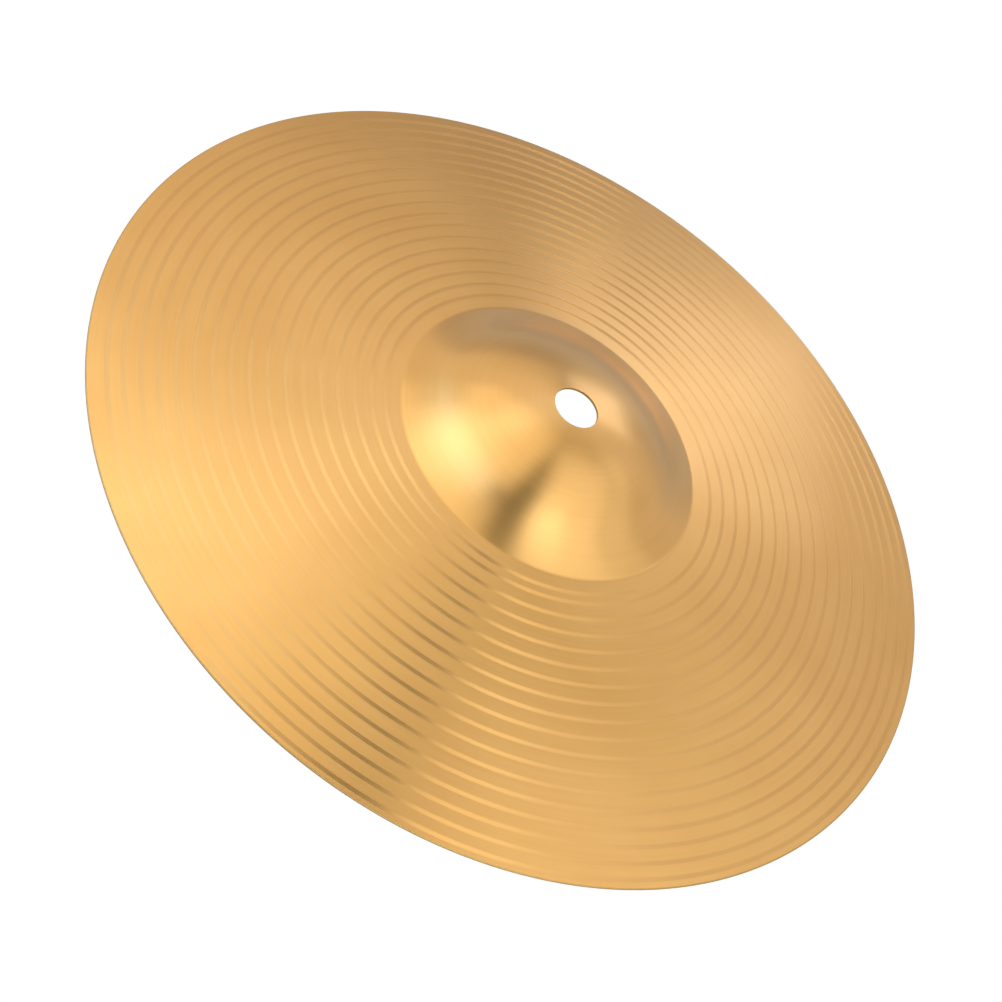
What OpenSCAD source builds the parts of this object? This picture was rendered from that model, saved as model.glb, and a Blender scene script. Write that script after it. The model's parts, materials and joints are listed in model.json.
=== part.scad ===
// A small crash cymbal: one round plate of spun brass sheet, with a shallow bow, a raised bell
// in the middle, a hole through the bell's crown and lathe grooves round the bow.
// Millimetres. The axis is Z, the crown is up, and the rim's lowest line lies on Z = 0.

/* [Plate] */
// Diameter across the rim
rim_d = 254; // [200:1:460]
// Thickness of the sheet
sheet_t = 0.8; // [0.5:0.05:1.6]

/* [Bow] */
// Slope of the bow at the rim, in degrees
rim_slope = 12; // [9:0.1:18]
// Slope of the bow where it meets the bell, in degrees
foot_slope = 5.7; // [2:0.1:8]

/* [Bell] */
// Diameter of the bell at its foot
bell_d = 89; // [60:1:120]
// Height of the crown above the foot, measured on the axis
bell_h = 15.8; // [10:0.2:26]
// Slope of the bell's flank at its foot, in degrees
flank_slope = 24; // [12:0.5:35]
// Radius of the flank's hollow curve, between the domed crown and the foot
flank_r = 75; // [30:1:200]
// Inside radius of the bend at the bell's foot
foot_bend_r = 1.5; // [0.5:0.25:12]

/* [Mounting hole] */
// Diameter of the hole through the crown
hole_d = 13; // [8:0.1:20]

/* [Lathe grooves] */
// Distance between neighbouring grooves
groove_pitch = 4.65; // [2.5:0.05:9]
// Width of a groove at the surface
groove_w = 1.25; // [0.6:0.05:1.8]
// Width of each sloping side of a groove, on either side of its flat bottom
groove_side = 0.15; // [0.05:0.05:0.25]
// Depth of a groove
groove_depth = 0.05; // [0.02:0.01:0.25]
// Plain land between the bell's foot and the innermost groove
inner_land = 4.6; // [4:0.1:20]
// Plain land between the outermost groove and the rim
outer_land = 1.6; // [1.2:0.1:10]

/* [Hidden] */
$fn = 180;

// Straight steps along each round stretch of the cross-section
crown_steps = 18;
flank_steps = 8;
bend_steps = 6;
bow_steps = 16;
rim_steps = 4;

half_t = sheet_t / 2;
rim_r = rim_d / 2;
foot_r = bell_d / 2;
hole_r = hole_d / 2;

// The cross-section lies in the half plane [radius, height]. An angle there leans outwards from
// the axis: 0 points up, 90 points out and 180 points down.
function lean(a) = [sin(a), cos(a)];
function lean_angle(from, to) = atan2(to.x - from.x, to.y - from.y);
// Angle at which a circle of radius r about c is at distance x from the axis
function angle_at(x, c, r) = asin((x - c.x) / r);
// Points on that circle from angle a0 to angle a1, without the first one
function arc(c, r, a0, a1, steps) =
    [for (i = [1 : steps]) c + r * lean(a0 + (a1 - a0) * i / steps)];

// The middle of the sheet follows four arcs. The bow's arc ends in the middle of the round rim.
rim_c = [rim_r - half_t, half_t];
bow_r = (rim_c.x - foot_r) / (sin(rim_slope) - sin(foot_slope));
bow_c = rim_c - bow_r * lean(rim_slope);

// The flank's arc is hollow, so its centre lies above the sheet. It ends where the bow starts.
foot = bow_c + bow_r * lean(foot_slope);
flank_c = foot + flank_r * lean(flank_slope);

// The crown's arc is centred on the axis and touches the flank's.
crown_z = foot.y + bell_h;
over_crown = flank_c.y - crown_z;
crown_r = (pow(flank_c.x, 2) + pow(over_crown, 2) - pow(flank_r, 2)) / (2 * (flank_r - over_crown));
crown_c = [0, crown_z - crown_r];
crown_end = lean_angle(crown_c, flank_c);

// The bend's arc touches the flank and the bow, so its centre is where two circles cross.
bend_r = foot_bend_r + half_t;
centre_line = bow_c - flank_c;
centre_gap = norm(centre_line);
along = (pow(flank_r - bend_r, 2) - pow(bow_r + bend_r, 2) + pow(centre_gap, 2)) / (2 * centre_gap);
across = sqrt(pow(flank_r - bend_r, 2) - pow(along, 2));
bend_c = flank_c + (along * centre_line + across * [centre_line.y, -centre_line.x]) / centre_gap;
flank_end = lean_angle(bend_c, flank_c);
bow_start = lean_angle(bow_c, bend_c);

// The two faces of the sheet, and the angle at which the hole cuts each of them
crown_top = crown_r + half_t;
crown_under = crown_r - half_t;
bow_top = bow_r + half_t;
bow_under = bow_r - half_t;
hole_top = angle_at(hole_r, crown_c, crown_top);
hole_under = angle_at(hole_r, crown_c, crown_under);

// Grooves are spaced inwards from the outermost one, as many as fit between the two lands.
outer_groove_r = rim_r - outer_land - groove_w / 2;
inner_groove_r = foot_r + inner_land;
last_groove = floor((outer_groove_r - inner_groove_r) / groove_pitch);
function on_bow(r, depth) =
    bow_c + (bow_top - depth) * lean(angle_at(r, bow_c, bow_top));
function groove(r) = [
    on_bow(r - groove_w / 2, 0),
    on_bow(r - groove_w / 2 + groove_side, groove_depth),
    on_bow(r + groove_w / 2 - groove_side, groove_depth),
    on_bow(r + groove_w / 2, 0)
];

// Top face from the hole out to the rim
top_face = concat(
    [crown_c + crown_top * lean(hole_top)],
    arc(crown_c, crown_top, hole_top, crown_end, crown_steps),
    arc(flank_c, flank_r - half_t, crown_end + 180, flank_end + 180, flank_steps),
    arc(bend_c, foot_bend_r, flank_end + 180, bow_start + 180, bend_steps),
    [for (i = [last_groove : -1 : 0]) each groove(outer_groove_r - i * groove_pitch)]
);
// Rounded rim, from the top face over the outermost and lowest points to the underside
rim_edge = concat(
    [rim_c + half_t * lean(rim_slope)],
    arc(rim_c, half_t, rim_slope, 90, rim_steps),
    arc(rim_c, half_t, 90, 180, rim_steps),
    [rim_c + half_t * lean(rim_slope + 180)]
);
// Underside from the rim back to the hole
underside = concat(
    arc(bow_c, bow_under, rim_slope, bow_start, bow_steps),
    arc(bend_c, bend_r + half_t, bow_start + 180, flank_end + 180, bend_steps),
    arc(flank_c, flank_r + half_t, flank_end + 180, crown_end + 180, flank_steps),
    arc(crown_c, crown_under, crown_end, hole_under, crown_steps)
);

// The whole plate, turned about its axis
module cymbal() {
    color([0.84, 0.67, 0.38])
        rotate_extrude()
            polygon(concat(top_face, rim_edge, underside));
}

cymbal();
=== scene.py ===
"""A small crash cymbal: one plate of spun brass with a bell, a bow, a crown hole and one spiral
lathe groove. Metres; the axis is Z, the crown is up and the rim rests on Z = 0."""
import json
import math

import bpy
import numpy as np
from mathutils import Matrix, Vector


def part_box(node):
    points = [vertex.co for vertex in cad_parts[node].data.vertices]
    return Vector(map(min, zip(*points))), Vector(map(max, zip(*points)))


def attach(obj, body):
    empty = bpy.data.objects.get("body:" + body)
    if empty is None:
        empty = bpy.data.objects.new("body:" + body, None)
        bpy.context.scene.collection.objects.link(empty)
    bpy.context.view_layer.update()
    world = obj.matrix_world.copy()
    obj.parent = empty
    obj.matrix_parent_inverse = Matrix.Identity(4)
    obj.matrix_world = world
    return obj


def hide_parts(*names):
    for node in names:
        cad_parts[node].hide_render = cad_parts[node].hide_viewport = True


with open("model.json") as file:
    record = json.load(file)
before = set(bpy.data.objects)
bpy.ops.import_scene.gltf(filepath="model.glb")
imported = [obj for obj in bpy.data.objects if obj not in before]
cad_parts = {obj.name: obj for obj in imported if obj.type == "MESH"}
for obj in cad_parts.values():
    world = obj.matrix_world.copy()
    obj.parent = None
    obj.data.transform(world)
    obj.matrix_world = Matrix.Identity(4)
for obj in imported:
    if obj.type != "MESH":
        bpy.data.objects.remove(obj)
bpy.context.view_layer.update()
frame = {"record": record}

MM = 0.001
TURN = 2 * math.pi

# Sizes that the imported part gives
low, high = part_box("cymbal")
RIM_R = (high[0] - low[0]) / 2
HOLE_R = frame["record"]["mounts"][0]["dims"]["r_mm"] * MM

# Sizes of the sheet's cross-section. They are the part's own, apart from the bend at the bell's
# foot, which is softer here because the photograph's crease is.
SHEET = 0.8 * MM
RIM_SLOPE = math.radians(12)
FOOT_SLOPE = math.radians(5.7)
FOOT_R = 44.5 * MM
BELL_H = 15.8 * MM
FLANK_SLOPE = math.radians(24)
FLANK_R = 75 * MM
FOOT_BEND = 3.5 * MM
# The hole's edges are eased by a quarter round of three points, given as shares of its radius.
HOLE_EASE = 0.06 * MM
QUARTER_ROUND = np.array([1, 0.29, 0])

# The lathe groove: half its width, the width of its steep sides, the burr along its inner edge,
# its depth along its outer edge, the turns at which it starts and runs out, and the share of a
# turn in which it does so
GROOVE_HALF = 0.57 * MM
GROOVE_SIDE = 0.02 * MM
GROOVE_BURR = 0.03 * MM
GROOVE_DEPTH = 0.05 * MM
GROOVE_START = -1.93
GROOVE_END = 15.3
GROOVE_FADE = 0.02
# The lathe's feed: the turn at which it starts, the turns in which it eases in, the groove's
# radius in millimetres as a quartic in the turns fed, lowest power first, and the lead-in towards
# the bell, in millimetres for the square of the turns before the groove starts
FEED_START = -1.48
FEED_EASE = 0.08
FEED_PATH = (48.839, 4.4423, 0.030726, 0.0000991, -0.00009024)
LEAD_IN = 8

# The mesh: columns round the axis, rows on the crown, the flank and the bend of either face, rows
# round the rim's edge and back under the bow from a radius just inside it, the turns that wind
# over the bow, and the two circles that they wind between
COLUMNS = 480
TOP_ROWS = (20, 10, 6)
UNDER_ROWS = (16, 8, 6)
RIM_ROWS = 10
BACK_ROWS = 12
BACK_R = 126.3 * MM
WOUND_TURNS = np.arange(-2, 17)
LAND_IN = 47.4 * MM
LAND_OUT = 126.5 * MM
# Kinds of vertex: on the land, on the groove's four edges from the inner one outwards, and on the
# hole's two edges. One turn has a row for each of the groove's edges and one on the land.
LAND = 0
GROOVE_EDGES = (1, 2, 3, 4)
HOLE_UNDER, HOLE_TOP = 5, 6
ROW_KINDS = (*GROOVE_EDGES, LAND)
# Kinds of face, each of which is the number of its material
TURNED, GROOVED, CUT = 0, 1, 2

# Darker and lighter tone of the turned brass and of the cut brass
BRASS_TONES = ("#F2B868", "#FAC373")
CUT_TONES = ("#C2955A", "#E3B974")
# Sockets of a node that mixes two colours
MIX_FROM, MIX_TO, MIX_RESULT = 6, 7, 2

# Camera at the photograph's viewing angle, with the roll that sets the plate aslant. Its distance
# and its shifts to the right and upwards go with the rim's radius.
ELEVATION = math.radians(45.5195)
ROLL = math.radians(39.5913)
DISTANCE = 5.2 * RIM_R
SHIFT_RIGHT = 0.002536 * RIM_R
SHIFT_UP = -0.095021 * RIM_R
FOCAL_PX = 2393.5
IMAGE_PX = 1002

# Soft panels round the plate, at 1.5 m: azimuth, elevation and turn in degrees, half width and
# half height as shares of the distance, radiance and tint
PANEL_DISTANCE = 1.524
PANELS = (
    ("left_panel", 202.5, 26.3, 36.1, 1.03, 0.66, 1.62, "#C4DBFF"),
    ("right_panel", 305.7, 28.0, 72.2, 1.02, 0.21, 0.654, "#F4FEFF"),
    ("back_spot", 84.9, 28.7, 40.1, 0.19, 0.17, 1.33, "#EBF0FF"),
    ("top_panel", 170.9, 68.7, -84.8, 0.44, 0.43, 1.07, "#FFFAE8"),
    ("right_wall", 2.6, 40.1, 21.8, 1.67, 0.80, 0.311, "#FFF8E1"),
    ("left_wall", 129.0, 35.7, -17.2, 0.40, 0.27, 0.541, "#FFF5E1"),
    ("right_fill", 325.6, 42.5, 52.1, 1.37, 0.35, 0.786, "#F7FAFF"),
    ("top_strip", 111.0, 59.3, -52.1, 0.13, 0.56, 0.513, "#E3ECFF"),
    ("back_wall", 89.9, 47.1, 10.3, 0.71, 0.21, 0.322, "#EEEEFF"),
    ("back_right", 29.5, 40.1, 21.8, 0.38, 0.14, 0.412, "#F4FBFF"),
)
# The room's strength, its change with height and with depth, and its tint
ROOM = (0.925, -1.145, -0.277, "#FBFAFF")
# Height, glow and tint of the floor for the eye, and of the dimmer one that the brass reflects
WHITE_FLOOR = (-0.5 * MM, 1.0, "#FFFFFF")
BOUNCE_FLOOR = (-0.6 * MM, 0.38, "#ECFDFF")
FLOOR_HALF = 30.0
# The white wall round the floor
WALL_R = 5.0
WALL_TOP = 4.0
WALL_COLUMNS = 96


def lean(angle):
    """Unit vector in (radius, height) that leans outwards from straight up by an angle."""
    return np.stack([np.sin(angle), np.cos(angle)], -1)


class Section:
    """The four touching arcs that the middle of the sheet follows, in (radius, height): the
    domed crown, the hollow flank, the bend at the foot and the bow."""

    half = SHEET / 2
    rim = np.array([RIM_R - SHEET / 2, SHEET / 2])
    bow_r = (rim[0] - FOOT_R) / (math.sin(RIM_SLOPE) - math.sin(FOOT_SLOPE))
    bow = rim - bow_r * lean(RIM_SLOPE)
    foot = bow + bow_r * lean(FOOT_SLOPE)
    flank = foot + FLANK_R * lean(FLANK_SLOPE)
    # The crown is centred on the axis and touches the flank.
    over_crown = flank[1] - foot[1] - BELL_H
    crown_r = (flank[0] ** 2 + over_crown**2 - FLANK_R**2) / (2 * (FLANK_R - over_crown))
    crown = np.array([0.0, foot[1] + BELL_H - crown_r])
    crown_end = math.atan2(flank[0] - crown[0], flank[1] - crown[1])
    # The bend touches the flank and the bow, so its centre is where two circles cross.
    bend_r = FOOT_BEND + SHEET / 2
    line = bow - flank
    gap = math.hypot(line[0], line[1])
    along = ((FLANK_R - bend_r) ** 2 - (bow_r + bend_r) ** 2 + gap**2) / (2 * gap)
    across = math.sqrt((FLANK_R - bend_r) ** 2 - along**2)
    bend = flank + (along * line + across * np.array([line[1], -line[0]])) / gap
    flank_end = math.atan2(flank[0] - bend[0], flank[1] - bend[1])
    bow_start = math.atan2(bend[0] - bow[0], bend[1] - bow[1])


def bell_face(side, crown_rows, flank_rows, bend_rows):
    """Points on a face of the bell, side away from the middle of the sheet, from the hole to the
    bow: centre plus radius along the leaning normal on the crown, centre minus it on the two
    hollow arcs."""
    first = math.asin((HOLE_R + HOLE_EASE) / (Section.crown_r + side))
    on_crown = np.linspace(first, Section.crown_end, crown_rows)
    on_flank = np.linspace(Section.crown_end, Section.flank_end, flank_rows + 1)[1:]
    on_bend = np.linspace(Section.flank_end, Section.bow_start, bend_rows + 1)[1:]
    return np.concatenate([
        Section.crown + (Section.crown_r + side) * lean(on_crown),
        Section.flank - (FLANK_R - side) * lean(on_flank),
        Section.bend - (Section.bend_r - side) * lean(on_bend),
    ])


def bow_height(radius, side):
    """Height of a face of the bow at a radius: centre height plus the root of the arc's radius
    squared less the distance from the arc's centre squared."""
    return Section.bow[1] + np.sqrt((Section.bow_r + side) ** 2 - (radius - Section.bow[0]) ** 2)


def bow_length(radius):
    """Distance along the bow's top face at a radius: the arc's radius times the angle whose sine
    is the distance from the arc's centre over that radius. A radius beyond the circles that end
    the bow counts as theirs."""
    arc_r = Section.bow_r + Section.half
    return arc_r * np.arcsin((np.clip(radius, LAND_IN, LAND_OUT) - Section.bow[0]) / arc_r)


def inner_profile():
    """Circles, as (radius, height), from the hole's lower edge up its wall and over the bell to
    the first land: a quarter round at each edge of the hole, the bell's top face and the circle
    where the winding starts."""
    top = bell_face(Section.half, *TOP_ROWS)
    under = bell_face(-Section.half, *UNDER_ROWS)
    away, near = HOLE_EASE * QUARTER_ROUND, HOLE_EASE * QUARTER_ROUND[::-1]
    return np.concatenate([
        np.stack([HOLE_R + away, under[0, 1] + near], 1),
        np.stack([HOLE_R + near, top[0, 1] - away], 1)[:-1],
        top,
        np.array([[LAND_IN, bow_height(LAND_IN, Section.half)]]),
    ])


def outer_profile():
    """Circles, as (radius, height), from the last land back to the hole: the circle where the
    winding ends, a half round at the rim, and the undersides of the bow and the bell."""
    round_rim = np.linspace(RIM_SLOPE, math.pi + RIM_SLOPE, RIM_ROWS)
    under = bell_face(-Section.half, *UNDER_ROWS)
    back = np.linspace(BACK_R, under[-1, 0], BACK_ROWS)[:-1]
    return np.concatenate([
        np.array([[LAND_OUT, bow_height(LAND_OUT, Section.half)]]),
        Section.rim + Section.half * lean(round_rim),
        np.stack([back, bow_height(back, -Section.half)], 1),
        under[:0:-1],
    ])


def groove_radius(turn):
    """Radius of the groove's middle after so many turns of the lathe. The feed eases in, as a
    softened ramp of the turn count, and the radius is a quartic in it: 4.4 mm a turn by the bell,
    4.8 mm half way and less by the rim. Before its start the path leads in towards the bell."""
    fed = FEED_EASE * np.logaddexp(0, (turn - FEED_START) / FEED_EASE)
    path = sum(factor * fed**power for power, factor in enumerate(FEED_PATH))
    lead_in = LEAD_IN * np.maximum(GROOVE_START - turn, 0) ** 2
    return (path - lead_in) * MM


def smooth_step(x):
    """0 below 0, 1 above 1, and 3x^2 - 2x^3 between."""
    x = np.clip(x, 0, 1)
    return x * x * (3 - 2 * x)


def wound_rows(angle):
    """Radii and heights of the bow's rows, which wind with the groove, and where the groove is
    cut. Row q has radius groove_radius(q - angle / turn) plus an offset across the groove, so
    that after one turn it runs into the row one groove further in. Between its four edges the
    groove's bottom slants down outwards, from a low burr to a steep side. A fifth row follows the
    middle of the land."""
    bottom = GROOVE_HALF - GROOVE_SIDE
    across = np.array([-GROOVE_HALF, -bottom, bottom, GROOVE_HALF])
    depth = np.array([0, -GROOVE_BURR, GROOVE_DEPTH, 0])
    turn = WOUND_TURNS[:, None, None] - angle / TURN
    middle = groove_radius(turn)
    land = (middle + groove_radius(turn + 1)) / 2
    starting = smooth_step((turn - GROOVE_START) / GROOVE_FADE)
    ending = smooth_step((GROOVE_END - turn) / GROOVE_FADE)
    fade = starting * ending
    radius = np.concatenate([middle + across[:, None], land], 1).reshape(-1, COLUMNS)
    cut = np.concatenate([depth[:, None] * fade, np.zeros_like(land)], 1).reshape(-1, COLUMNS)
    height = bow_height(np.clip(radius, LAND_IN, LAND_OUT), Section.half) - cut
    return radius, height, np.repeat(fade[:, 0] > 0.5, len(ROW_KINDS), axis=0)


def run_length(profile, start=0.0):
    """Distance along a profile's points, counted on from a starting value."""
    steps = np.hypot(*np.diff(profile, axis=0).T)
    return start + np.concatenate([[0.0], np.cumsum(steps)])


def on_circles(values):
    """One value for each row, repeated in all its columns."""
    return np.broadcast_to(values[:, None], (len(values), COLUMNS))


def round_on(rows):
    """The next column of rows that are circles."""
    return np.roll(rows, -1, axis=1)


def wind_on(rows):
    """The next column of the bow's rows, which are wound ones between two circles. After the last
    column a wound row becomes the row one groove further in."""
    per_turn = len(ROW_KINDS)
    after = round_on(rows)
    first = rows[:, 0]
    after[1:-1, -1] = np.concatenate([np.repeat(first[0], per_turn), first[1:-1 - per_turn]])
    return after


def strips(rows, v, marks, onward):
    """Two triangles for each cell between neighbouring rows of vertices, with the map places of
    their corners and with the kinds of face that marks gives. v holds the distance along the
    section, and onward gives a grid's next column. Triangles that have shrunk to a line are
    dropped."""
    def corners(here, there):
        first = np.stack([here[:-1], here[1:], there[1:]], -1)
        second = np.stack([here[:-1], there[1:], there[:-1]], -1)
        return np.concatenate([first.reshape(-1, 3), second.reshape(-1, 3)])

    faces = corners(rows, onward(rows))
    column = np.broadcast_to(np.arange(COLUMNS), rows.shape)
    places = np.stack([corners(column, column + 1) / COLUMNS, corners(v, onward(v))], -1)
    kinds = np.tile(np.broadcast_to(marks, column[1:].shape).ravel(), 2)
    whole = (faces != np.roll(faces, 1, axis=1)).all(axis=1)
    return faces[whole], places[whole], kinds[whole]


def plate_mesh():
    """The closed plate. Circles of constant radius make the hole, the bell, the rim and the
    underside, and wound rows make the bow. Wound rows that reach the circles on either side of
    them stop there. Each corner has a map place: the share of a turn, and the distance along the
    section as a share of its whole length."""
    angle = np.arange(COLUMNS) / COLUMNS * TURN
    inner, outer = inner_profile(), outer_profile()
    wound_r, wound_z, in_groove = wound_rows(angle)

    # Vertices: inner circles, wound rows, outer circles
    radius = np.concatenate([on_circles(inner[:, 0]), wound_r, on_circles(outer[:, 0])])
    height = np.concatenate([on_circles(inner[:, 1]), wound_z, on_circles(outer[:, 1])])
    points = np.stack([radius * np.cos(angle), radius * np.sin(angle), height], 2).reshape(-1, 3)
    index = np.arange(len(points)).reshape(-1, COLUMNS)
    inner_id, wound_id, outer_id = np.split(index, [len(inner), len(inner) + len(wound_r)])
    wound_id = np.where(wound_r <= LAND_IN, inner_id[-1], wound_id)
    wound_id = np.where(wound_r >= LAND_OUT, outer_id[0], wound_id)

    # Kinds of vertex. The hole has a quarter round in its first rows and another in the next.
    hole_top = 2 * len(QUARTER_ROUND) - 1
    inner_kind = np.zeros(len(inner), int)
    inner_kind[0], inner_kind[hole_top] = HOLE_UNDER, HOLE_TOP
    wound_kind = np.tile(ROW_KINDS, len(WOUND_TURNS))
    kind = on_circles(np.concatenate([inner_kind, wound_kind, np.zeros(len(outer), int)]))

    # Distance along the section at each row
    inner_v = run_length(inner)
    wound_v = inner_v[-1] + bow_length(wound_r) - bow_length(LAND_IN)
    outer_v = run_length(outer, inner_v[-1] + bow_length(LAND_OUT) - bow_length(LAND_IN))
    total_v = outer_v[-1] + math.hypot(*(outer[-1] - inner[0]))

    # Kinds of face. Cut brass starts in the hole's upper quarter round and goes down its wall, and
    # it goes round the rim. The groove lies outwards of each of its edges but the last.
    inner_strip, outer_strip = np.arange(len(inner) - 1), np.arange(len(outer) - 1)
    hole_wall = CUT * (inner_strip < hole_top - 1)[:, None]
    rim_edge = CUT * ((outer_strip > 0) & (outer_strip < RIM_ROWS))[:, None]
    grooved = GROOVED * (in_groove & np.isin(wound_kind, GROOVE_EDGES[:-1])[:, None])
    bow_marks = np.concatenate([np.full((1, COLUMNS), TURNED), grooved])

    bow_rows = np.concatenate([inner_id[-1:], wound_id, outer_id[:1]])
    bow_v = np.concatenate([on_circles(inner_v[-1:]), wound_v, on_circles(outer_v[:1])])
    last_rows = np.stack([outer_id[-1], inner_id[0]])
    last_v = on_circles(np.array([outer_v[-1], total_v]))
    parts = [
        strips(inner_id, on_circles(inner_v), hole_wall, round_on),
        strips(bow_rows, bow_v, bow_marks, wind_on),
        strips(outer_id, on_circles(outer_v), rim_edge, round_on),
        strips(last_rows, last_v, TURNED, round_on),
    ]
    faces, places, marks = (np.concatenate(arrays) for arrays in zip(*parts))
    places[..., 1] /= total_v
    return points, faces, places, marks, kind.ravel()


def build(name, points, faces, places, marks, kind):
    """Puts the arrays into a mesh object with smooth faces and a map. A face's mark is the number
    of its material. The edges of the groove and of the hole, which join two vertices of one kind
    other than the land's, stay sharp. Vertices that no face uses are left out."""
    used, faces = np.unique(faces, return_inverse=True)
    faces = faces.reshape(-1, 3)
    points, kind = points[used], kind[used]
    mesh = bpy.data.meshes.new(name)
    mesh.vertices.add(len(points))
    mesh.vertices.foreach_set("co", points.ravel())
    mesh.loops.add(faces.size)
    mesh.loops.foreach_set("vertex_index", faces.ravel())
    mesh.polygons.add(len(faces))
    mesh.polygons.foreach_set("loop_start", np.arange(0, faces.size, 3))
    mesh.polygons.foreach_set("use_smooth", np.ones(len(faces), bool))
    mesh.polygons.foreach_set("material_index", marks.astype(np.int32))
    mesh.uv_layers.new(name="OFBake").data.foreach_set("uv", places.ravel())
    mesh.update(calc_edges=True)
    ends = np.empty(2 * len(mesh.edges), np.int32)
    mesh.edges.foreach_get("vertices", ends)
    ends = kind[ends.reshape(-1, 2)]
    mesh.edges.foreach_set("use_edge_sharp", (ends[:, 0] == ends[:, 1]) & (ends[:, 0] > LAND))
    mesh.validate()
    piece = bpy.data.objects.new(name, mesh)
    bpy.context.collection.objects.link(piece)
    return piece


def linear(hex_colour):
    """An sRGB hex colour as linear RGBA."""
    s = np.array([int(hex_colour[i:i + 2], 16) for i in (1, 3, 5)]) / 255
    lin = np.where(s <= 0.04045, s / 12.92, ((s + 0.055) / 1.055) ** 2.4)
    return (*lin.tolist(), 1.0)


def add_node(tree, kind, settings=(), inputs=()):
    """Adds a node, sets its properties and fills its inputs with values or with links."""
    node = tree.nodes.new(kind)
    for key, value in dict(settings).items():
        setattr(node, key, value)
    for key, value in dict(inputs).items():
        if isinstance(value, bpy.types.NodeSocket):
            tree.links.new(value, node.inputs[key])
        else:
            node.inputs[key].default_value = value
    return node


def empty_material(name):
    """A material with no nodes yet, and its tree."""
    material = bpy.data.materials.new(name)
    material.use_nodes = True
    material.node_tree.nodes.clear()
    return material, material.node_tree


def brass(name, bell_rough, bow_rough, anisotropy):
    """Brass sheet, turned on a lathe and lacquered. Fine scratches run round the axis, so light
    smears out along the radius, and the thin satin lacquer adds a pale, soft reflection at low
    angles. The roughness passes from the bell's to the bow's across the bell's foot."""
    # Turning marks lie 0.7 mm apart, coarser than the real 0.1 mm so that they show, and run
    # about 60 mm round the axis before they fade. The lacquered sheet's tone is cloudy, in patches
    # of about 30 mm.
    mark_gap, mark_run, cloud = 0.7 * MM, 60 * MM, 30 * MM
    foot_in, foot_out = 43.5 * MM, 46 * MM
    dark, light = BRASS_TONES
    material, tree = empty_material(name)
    place = add_node(tree, "ShaderNodeTexCoord").outputs["Object"]
    flat = add_node(tree, "ShaderNodeVectorMath", {"operation": "MULTIPLY"},
                    {0: place, 1: (1, 1, 0)}).outputs["Vector"]
    radius = add_node(tree, "ShaderNodeVectorMath", {"operation": "LENGTH"},
                      {0: flat}).outputs["Value"]
    across = add_node(tree, "ShaderNodeCombineXYZ", (), {"Z": radius}).outputs["Vector"]
    long_way = add_node(tree, "ShaderNodeVectorMath", {"operation": "SCALE"},
                        {0: flat, "Scale": 1 / mark_run}).outputs["Vector"]
    marks_at = add_node(tree, "ShaderNodeVectorMath", {"operation": "MULTIPLY_ADD"},
                        {0: across, 1: (0, 0, 1 / mark_gap), 2: long_way}).outputs["Vector"]
    marks = add_node(tree, "ShaderNodeTexNoise", (),
                     {"Vector": marks_at, "Scale": 1.0, "Detail": 2.0}).outputs["Fac"]
    clouds = add_node(tree, "ShaderNodeTexNoise", (),
                      {"Vector": place, "Scale": 1 / cloud, "Detail": 2.0}).outputs["Fac"]
    # The marks count half as much as the clouds in the tone, which is spread from dark to light.
    tone = add_node(tree, "ShaderNodeMath", {"operation": "MULTIPLY_ADD"},
                    {0: marks, 1: 0.5, 2: clouds}).outputs["Value"]
    shade = add_node(tree, "ShaderNodeMapRange", (),
                     {"Value": tone, "From Min": 0.45, "From Max": 1.05}).outputs["Result"]
    colour = add_node(tree, "ShaderNodeMix", {"data_type": "RGBA"},
                      {"Factor": shade, MIX_FROM: linear(dark),
                       MIX_TO: linear(light)}).outputs[MIX_RESULT]
    # The marks also make the roughness uneven, and they stand up as faint ridges.
    evenly = add_node(tree, "ShaderNodeMapRange", (),
                      {"Value": radius, "From Min": foot_in, "From Max": foot_out,
                       "To Min": bell_rough, "To Max": bow_rough}).outputs["Result"]
    off_middle = add_node(tree, "ShaderNodeMath", {"operation": "SUBTRACT"},
                          {0: marks, 1: 0.5}).outputs["Value"]
    rough = add_node(tree, "ShaderNodeMath", {"operation": "MULTIPLY_ADD"},
                     {0: off_middle, 1: 0.03, 2: evenly}).outputs["Value"]
    ridges = add_node(tree, "ShaderNodeBump", (),
                      {"Strength": 0.03, "Distance": 0.02 * MM, "Height": marks}).outputs["Normal"]
    # The quarter turn sets the smear of light along the radius.
    metal = add_node(tree, "ShaderNodeBsdfPrincipled", (), {
        "Base Color": colour, "Metallic": 1.0, "Roughness": rough,
        "Anisotropic": anisotropy, "Anisotropic Rotation": 0.25, "Normal": ridges,
        "Coat Weight": 0.65, "Coat Roughness": 0.2})
    add_node(tree, "ShaderNodeOutputMaterial", (), {"Surface": metal.outputs["BSDF"]})
    return material


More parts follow.
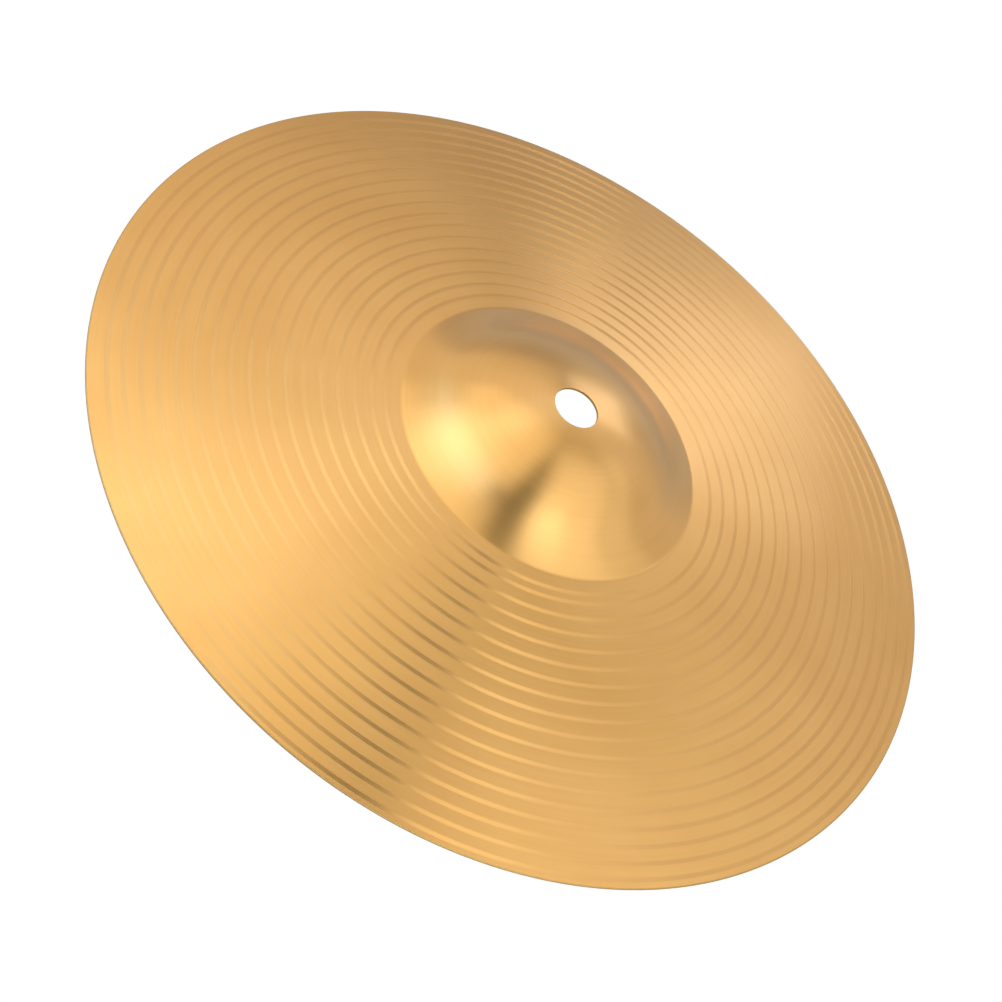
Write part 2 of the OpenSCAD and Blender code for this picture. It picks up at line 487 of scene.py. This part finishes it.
def cut_edge():
    """Raw brass where the sheet was cut, along the rim and in the hole: torn and duller than the
    faces."""
    # Tear marks stand across the sheet, about 0.4 mm apart, and are drawn out along its thickness.
    tear_gap, drawn_out = 0.4 * MM, 0.15
    dark, light = CUT_TONES
    material, tree = empty_material("cut_brass")
    place = add_node(tree, "ShaderNodeTexCoord").outputs["Object"]
    upright = add_node(tree, "ShaderNodeVectorMath", {"operation": "MULTIPLY"},
                       {0: place, 1: (1, 1, drawn_out)}).outputs["Vector"]
    tears = add_node(tree, "ShaderNodeTexNoise", (),
                     {"Vector": upright, "Scale": 1 / tear_gap, "Detail": 2.0}).outputs["Fac"]
    colour = add_node(tree, "ShaderNodeMix", {"data_type": "RGBA"},
                      {"Factor": tears, MIX_FROM: linear(dark),
                       MIX_TO: linear(light)}).outputs[MIX_RESULT]
    torn = add_node(tree, "ShaderNodeBump", (),
                    {"Strength": 0.3, "Distance": 0.05 * MM, "Height": tears}).outputs["Normal"]
    metal = add_node(tree, "ShaderNodeBsdfPrincipled", (), {
        "Base Color": colour, "Metallic": 1.0, "Roughness": 0.5, "Normal": torn})
    add_node(tree, "ShaderNodeOutputMaterial", (), {"Surface": metal.outputs["BSDF"]})
    return material


def lit_acrylic(name, strength, tint):
    """White acrylic sheet lit from its far side, as in a product table and the wall behind it: an
    even white with no shadow."""
    material, tree = empty_material(name)
    acrylic = add_node(tree, "ShaderNodeBsdfPrincipled", (), {
        "Base Color": linear("#101010"), "Roughness": 1.0, "Specular IOR Level": 0.0,
        "Emission Color": linear(tint), "Emission Strength": strength})
    add_node(tree, "ShaderNodeOutputMaterial", (), {"Surface": acrylic.outputs["BSDF"]})
    return material


def floor_sheet(name, height, strength, tint):
    """A square lit sheet, 30 m to each side, which is no part of the object."""
    square = FLOOR_HALF * np.array([(-1, -1), (1, -1), (1, 1), (-1, 1)])
    mesh = bpy.data.meshes.new(name)
    mesh.from_pydata([(x, y, height) for x, y in square.tolist()], [], [(0, 1, 2, 3)])
    sheet = bpy.data.objects.new(name, mesh)
    bpy.context.collection.objects.link(sheet)
    mesh.materials.append(lit_acrylic(name + "_acrylic", strength, tint))
    return sheet


def white_wall():
    """A round white wall on the floor, 5 m away, so that low views show no horizon: a circle
    carried straight up. The brass doesn't reflect it and it casts no shadow."""
    angle = np.arange(WALL_COLUMNS) / WALL_COLUMNS * TURN
    circle = WALL_R * np.stack([np.cos(angle), np.sin(angle), np.zeros(WALL_COLUMNS)], 1)
    here = np.arange(WALL_COLUMNS)
    after = np.roll(here, -1)
    mesh = bpy.data.meshes.new("wall")
    mesh.from_pydata(
        np.concatenate([circle, circle + (0, 0, WALL_TOP)]).tolist(), [],
        np.stack([after, here, here + WALL_COLUMNS, after + WALL_COLUMNS], 1).tolist())
    wall = bpy.data.objects.new("wall", mesh)
    bpy.context.collection.objects.link(wall)
    mesh.materials.append(lit_acrylic("wall_acrylic", 1.0, "#FFFFFF"))
    wall.visible_glossy = wall.visible_diffuse = wall.visible_shadow = False


def soft_panel(name, azimuth, elevation, turn, half_width, half_height, radiance, tint):
    """A rectangular soft light on a far sphere, facing the plate. It lies at azimuth and
    elevation as seen from the plate, turned in its own plane, and its half sizes are shares of
    the distance. Its power is pi times area times radiance."""
    az, el, turn = (math.radians(angle) for angle in (azimuth, elevation, turn))
    out = Vector((math.cos(el) * math.cos(az), math.cos(el) * math.sin(az), math.sin(el)))
    level = Vector((-math.sin(az), math.cos(az), 0))
    rise = out.cross(level)
    across = math.cos(turn) * level + math.sin(turn) * rise
    data = bpy.data.lights.new(name, "AREA")
    data.shape = "RECTANGLE"
    data.size, data.size_y = 2 * half_width * PANEL_DISTANCE, 2 * half_height * PANEL_DISTANCE
    data.energy = math.pi * data.size * data.size_y * radiance
    data.color = linear(tint)[:3]
    lamp = bpy.data.objects.new(name, data)
    bpy.context.collection.objects.link(lamp)
    axes = Matrix((across, out.cross(across), out)).transposed().to_4x4()
    lamp.matrix_world = Matrix.Translation(out * PANEL_DISTANCE) @ axes
    lamp.visible_camera = False


def room_light(base, per_up, per_back, tint):
    """A world whose strength changes evenly with height and depth: base plus per_up times the
    direction's height plus per_back times its depth, and no less than nothing."""
    world = bpy.data.worlds.new("room")
    world.use_nodes = True
    tree = world.node_tree
    tree.nodes.clear()
    way = add_node(tree, "ShaderNodeTexCoord").outputs["Generated"]
    lean_up = add_node(tree, "ShaderNodeVectorMath", {"operation": "DOT_PRODUCT"},
                       {0: way, 1: (0, per_back, per_up)}).outputs["Value"]
    level = add_node(tree, "ShaderNodeMath", {"operation": "ADD"},
                     {0: lean_up, 1: base}).outputs["Value"]
    strength = add_node(tree, "ShaderNodeMath", {"operation": "MAXIMUM"},
                        {0: level, 1: 0.0}).outputs["Value"]
    glow = add_node(tree, "ShaderNodeBackground", (),
                    {"Color": linear(tint), "Strength": strength}).outputs["Background"]
    add_node(tree, "ShaderNodeOutputWorld", (), {"Surface": glow})
    bpy.context.scene.world = world


def photo_camera():
    """A camera that looks at the plate from above its near side. Its place is the middle of the
    rim plus a distance along the line of sight and the two shifts across it, and its frame is
    rolled about that line."""
    right = Vector((1, 0, 0))
    above = Vector((0, math.sin(ELEVATION), math.cos(ELEVATION)))
    toward = Vector((0, -math.cos(ELEVATION), math.sin(ELEVATION)))
    rim_middle = Vector((0, 0, Section.half))
    eye = SHIFT_RIGHT * right + SHIFT_UP * above + DISTANCE * toward + rim_middle
    view = bpy.data.cameras.new("view")
    view.sensor_width = 36
    view.lens = FOCAL_PX / IMAGE_PX * view.sensor_width
    view.clip_start = 0.01
    view.clip_end = 100
    camera = bpy.data.objects.new("view", view)
    bpy.context.collection.objects.link(camera)
    axes = Matrix((
        math.cos(ROLL) * right + math.sin(ROLL) * above,
        -math.sin(ROLL) * right + math.cos(ROLL) * above,
        toward,
    )).transposed().to_4x4()
    camera.matrix_world = Matrix.Translation(eye) @ axes
    bpy.context.scene.camera = camera


# The plate. Its materials are in the order of the kinds of face: the turned finish, the coarser
# finish that the cutter leaves in the groove, and the cut edges.
cymbal = build("brass_plate", *plate_mesh())
cymbal.data.materials.append(brass("spun_brass", 0.284, 0.32, 0.516))
cymbal.data.materials.append(brass("grooved_brass", 0.356, 0.356, 1.0))
cymbal.data.materials.append(cut_edge())
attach(cymbal, "root")
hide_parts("cymbal")

photo_camera()

# White floor and wall for the eye, and a dimmer floor for what the brass reflects of it
floor = floor_sheet("floor", *WHITE_FLOOR)
floor.visible_glossy = False
bounce = floor_sheet("floor_bounce", *BOUNCE_FLOOR)
bounce.visible_camera = False
white_wall()

# Soft light: panels round the plate and above it, in a room that darkens upwards and to the back
room_light(*ROOM)
for panel in PANELS:
    soft_panel(*panel)

bpy.context.scene.view_settings.view_transform = "Standard"
